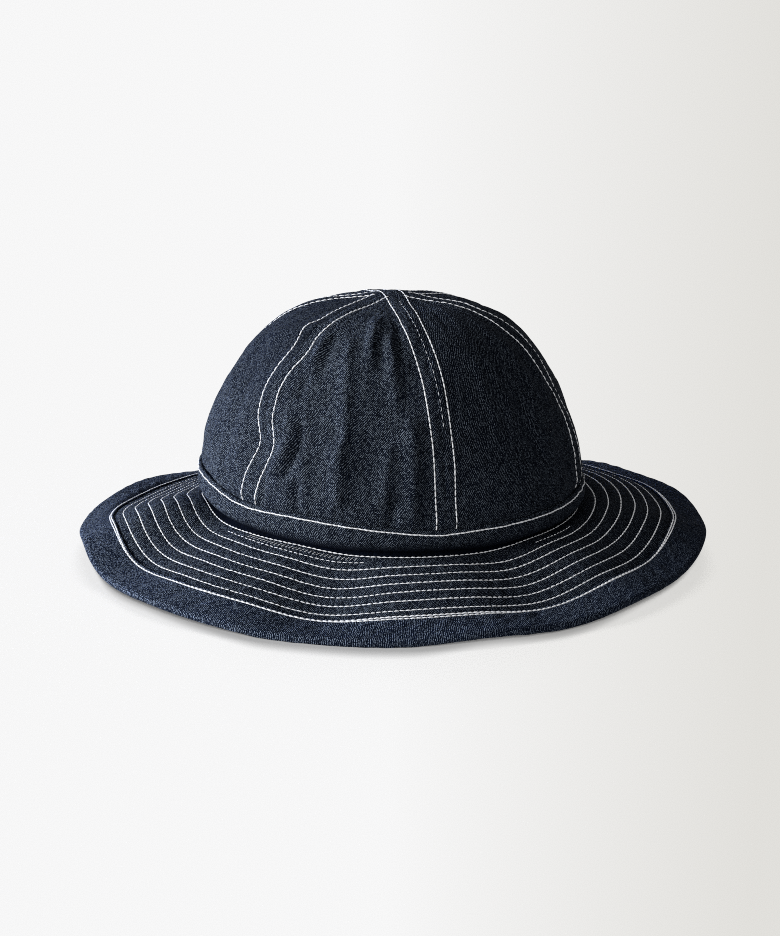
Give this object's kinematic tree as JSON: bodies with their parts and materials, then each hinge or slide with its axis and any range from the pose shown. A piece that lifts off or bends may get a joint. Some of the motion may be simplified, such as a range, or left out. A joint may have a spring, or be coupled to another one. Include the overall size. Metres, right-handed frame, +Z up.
{
  "type": "denim hat",
  "caption": "Soft denim hat with a round paneled crown, a narrow band and a wavy row-stitched brim with a wide bound edge.",
  "frame": {"origin": "on the table that the brim rests on, under the middle of the crown", "axes": "+Z up; the front seam of the crown faces -Y; +X is to the right when the hat is seen from the front"},
  "size_m": [0.3134, 0.3095, 0.1267],
  "materials": {
    "denim": "dark indigo twill denim, slubby and matte",
    "binding_denim": "dark indigo twill denim cut on the bias",
    "thread": "off-white cotton topstitching thread"
  },
  "bodies": {
    "root": {"crown_panel_1": "denim", "crown_panel_2": "denim", "crown_panel_3": "denim", "crown_panel_4": "denim", "crown_panel_5": "denim", "crown_panel_6": "denim", "band": "denim", "brim": "denim", "brim_binding": "binding_denim"}
  },
  "joints": []
}
